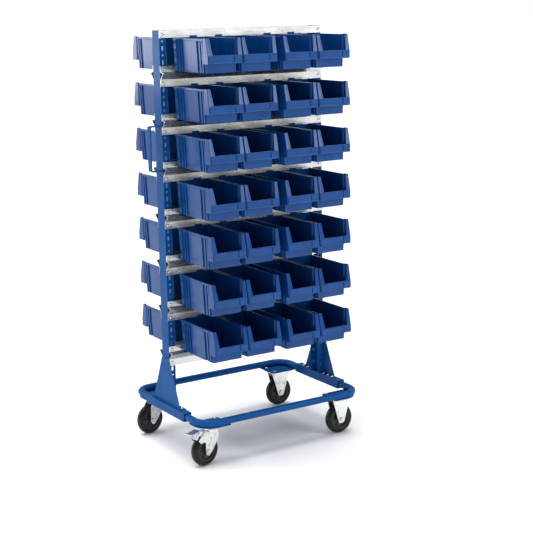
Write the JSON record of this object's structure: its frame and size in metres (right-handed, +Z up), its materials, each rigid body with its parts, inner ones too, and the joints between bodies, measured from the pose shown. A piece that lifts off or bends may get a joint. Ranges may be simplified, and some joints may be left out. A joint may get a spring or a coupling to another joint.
{
  "type": "mobile bin cart",
  "caption": "Wheeled double-sided rack that carries tilted-mouth open-front storage bins on louvred rails, with a side push handle and swivel, braked and fixed castors.",
  "frame": {"origin": "on the floor, under the middle of the cart's overall box", "axes": "+X along the rack from the handle end to the fixed castors, -Y towards the first face of bins, +Z up"},
  "size_m": [0.8256, 0.6066, 1.68],
  "materials": {
    "frame_blue": "satin blue powder coat",
    "rail_grey": "satin light grey",
    "bin_blue": "moulded, fine texture",
    "zinc_castor": "bright zinc plated",
    "zinc_fastener": "bright zinc plated",
    "wheel_hub": "black, moulded",
    "tyre": "black solid rubber"
  },
  "bodies": {
    "frame": {"base_tube_front": "frame_blue", "base_tube_rear": "frame_blue", "corner_plates_front": "frame_blue", "corner_plates_rear": "frame_blue", "side_sleeve_left": "frame_blue", "side_sleeve_right": "frame_blue", "foot_bracket_left": "frame_blue", "foot_bracket_right": "frame_blue", "foot_bolts": "zinc_fastener", "upright_left": "frame_blue", "upright_right": "frame_blue", "push_handle": "frame_blue", "top_strips": "rail_grey", "bin_rails_1": "rail_grey", "bin_rails_2": "rail_grey", "bin_rails_3": "rail_grey", "bin_rails_4": "rail_grey", "bin_rails_5": "rail_grey", "bin_rails_6": "rail_grey", "bin_rails_7": "rail_grey", "rail_screws": "zinc_fastener", "castor_bolts": "zinc_fastener", "swivel_plate_front_left": "zinc_castor", "kingpin_front_left": "zinc_fastener", "fixed_bracket_front_right": "zinc_castor", "axle_front_right": "zinc_fastener", "swivel_plate_rear_left": "zinc_castor", "kingpin_rear_left": "zinc_fastener", "fixed_bracket_rear_right": "zinc_castor", "axle_rear_right": "zinc_fastener"},
    "bin_row_front_1": {"bins_front_1": "bin_blue"},
    "bin_row_front_2": {"bins_front_2": "bin_blue"},
    "bin_row_front_3": {"bins_front_3": "bin_blue"},
    "bin_row_front_4": {"bins_front_4": "bin_blue"},
    "bin_row_front_5": {"bins_front_5": "bin_blue"},
    "bin_row_front_6": {"bins_front_6": "bin_blue"},
    "bin_row_front_7": {"bins_front_7": "bin_blue"},
    "bin_row_rear_1": {"bins_rear_1": "bin_blue"},
    "bin_row_rear_2": {"bins_rear_2": "bin_blue"},
    "bin_row_rear_3": {"bins_rear_3": "bin_blue"},
    "bin_row_rear_4": {"bins_rear_4": "bin_blue"},
    "bin_row_rear_5": {"bins_rear_5": "bin_blue"},
    "bin_row_rear_6": {"bins_rear_6": "bin_blue"},
    "bin_row_rear_7": {"bins_rear_7": "bin_blue"},
    "fork_front_left": {"swivel_fork_front_left": "zinc_castor", "axle_front_left": "zinc_fastener", "brake_pin": "zinc_fastener"},
    "wheel_front_left": {"wheel_hub_front_left": "wheel_hub", "tyre_front_left": "tyre"},
    "wheel_front_right": {"wheel_hub_front_right": "wheel_hub", "tyre_front_right": "tyre"},
    "fork_rear_left": {"swivel_fork_rear_left": "zinc_castor", "axle_rear_left": "zinc_fastener"},
    "wheel_rear_left": {"wheel_hub_rear_left": "wheel_hub", "tyre_rear_left": "tyre"},
    "wheel_rear_right": {"wheel_hub_rear_right": "wheel_hub", "tyre_rear_right": "tyre"},
    "brake_pedal": {"brake_pedal": "zinc_castor"}
  },
  "joints": [
    {"name": "lift_off_front_1", "type": "slide", "parent": "frame", "child": "bin_row_front_1", "axis": [0, -0.9903, 0.1392], "range_m": [0, 0.29]},
    {"name": "lift_off_front_2", "type": "slide", "parent": "frame", "child": "bin_row_front_2", "axis": [0, -0.9903, 0.1392], "range_m": [0, 0.29]},
    {"name": "lift_off_front_3", "type": "slide", "parent": "frame", "child": "bin_row_front_3", "axis": [0, -0.9903, 0.1392], "range_m": [0, 0.29]},
    {"name": "lift_off_front_4", "type": "slide", "parent": "frame", "child": "bin_row_front_4", "axis": [0, -0.9903, 0.1392], "range_m": [0, 0.29]},
    {"name": "lift_off_front_5", "type": "slide", "parent": "frame", "child": "bin_row_front_5", "axis": [0, -0.9903, 0.1392], "range_m": [0, 0.29]},
    {"name": "lift_off_front_6", "type": "slide", "parent": "frame", "child": "bin_row_front_6", "axis": [0, -0.9903, 0.1392], "range_m": [0, 0.29]},
    {"name": "lift_off_front_7", "type": "slide", "parent": "frame", "child": "bin_row_front_7", "axis": [0, -0.9903, 0.1392], "range_m": [0, 0.29]},
    {"name": "lift_off_rear_1", "type": "slide", "parent": "frame", "child": "bin_row_rear_1", "axis": [0, 0.9903, 0.1392], "range_m": [0, 0.29]},
    {"name": "lift_off_rear_2", "type": "slide", "parent": "frame", "child": "bin_row_rear_2", "axis": [0, 0.9903, 0.1392], "range_m": [0, 0.29]},
    {"name": "lift_off_rear_3", "type": "slide", "parent": "frame", "child": "bin_row_rear_3", "axis": [0, 0.9903, 0.1392], "range_m": [0, 0.29]},
    {"name": "lift_off_rear_4", "type": "slide", "parent": "frame", "child": "bin_row_rear_4", "axis": [0, 0.9903, 0.1392], "range_m": [0, 0.29]},
    {"name": "lift_off_rear_5", "type": "slide", "parent": "frame", "child": "bin_row_rear_5", "axis": [0, 0.9903, 0.1392], "range_m": [0, 0.29]},
    {"name": "lift_off_rear_6", "type": "slide", "parent": "frame", "child": "bin_row_rear_6", "axis": [0, 0.9903, 0.1392], "range_m": [0, 0.29]},
    {"name": "lift_off_rear_7", "type": "slide", "parent": "frame", "child": "bin_row_rear_7", "axis": [0, 0.9903, 0.1392], "range_m": [0, 0.29]},
    {"name": "swivel_front_left", "type": "hinge", "parent": "frame", "child": "fork_front_left", "pos_m": [-0.28423, -0.23, 0.16], "axis": [0, 0, 1], "continuous": true},
    {"name": "wheel_spin_front_left", "type": "hinge", "parent": "fork_front_left", "child": "wheel_front_left", "pos_m": [-0.31944, -0.23749, 0.0625], "axis": [-0.2079, 0.9781, 0], "continuous": true},
    {"name": "wheel_spin_front_right", "type": "hinge", "parent": "frame", "child": "wheel_front_right", "pos_m": [0.33177, -0.23, 0.0625], "axis": [0, 1, 0], "continuous": true},
    {"name": "swivel_rear_left", "type": "hinge", "parent": "frame", "child": "fork_rear_left", "pos_m": [-0.28423, 0.23, 0.16], "axis": [0, 0, 1], "continuous": true},
    {"name": "wheel_spin_rear_left", "type": "hinge", "parent": "fork_rear_left", "child": "wheel_rear_left", "pos_m": [-0.31944, 0.22251, 0.0625], "axis": [-0.2079, 0.9781, 0], "continuous": true},
    {"name": "wheel_spin_rear_right", "type": "hinge", "parent": "frame", "child": "wheel_rear_right", "pos_m": [0.33177, 0.23, 0.0625], "axis": [0, 1, 0], "continuous": true},
    {"name": "brake_press", "type": "hinge", "parent": "fork_front_left", "child": "brake_pedal", "pos_m": [-0.33901, -0.24164, 0.13], "axis": [0.2079, -0.9781, 0], "range_deg": [0, 14]}
  ]
}
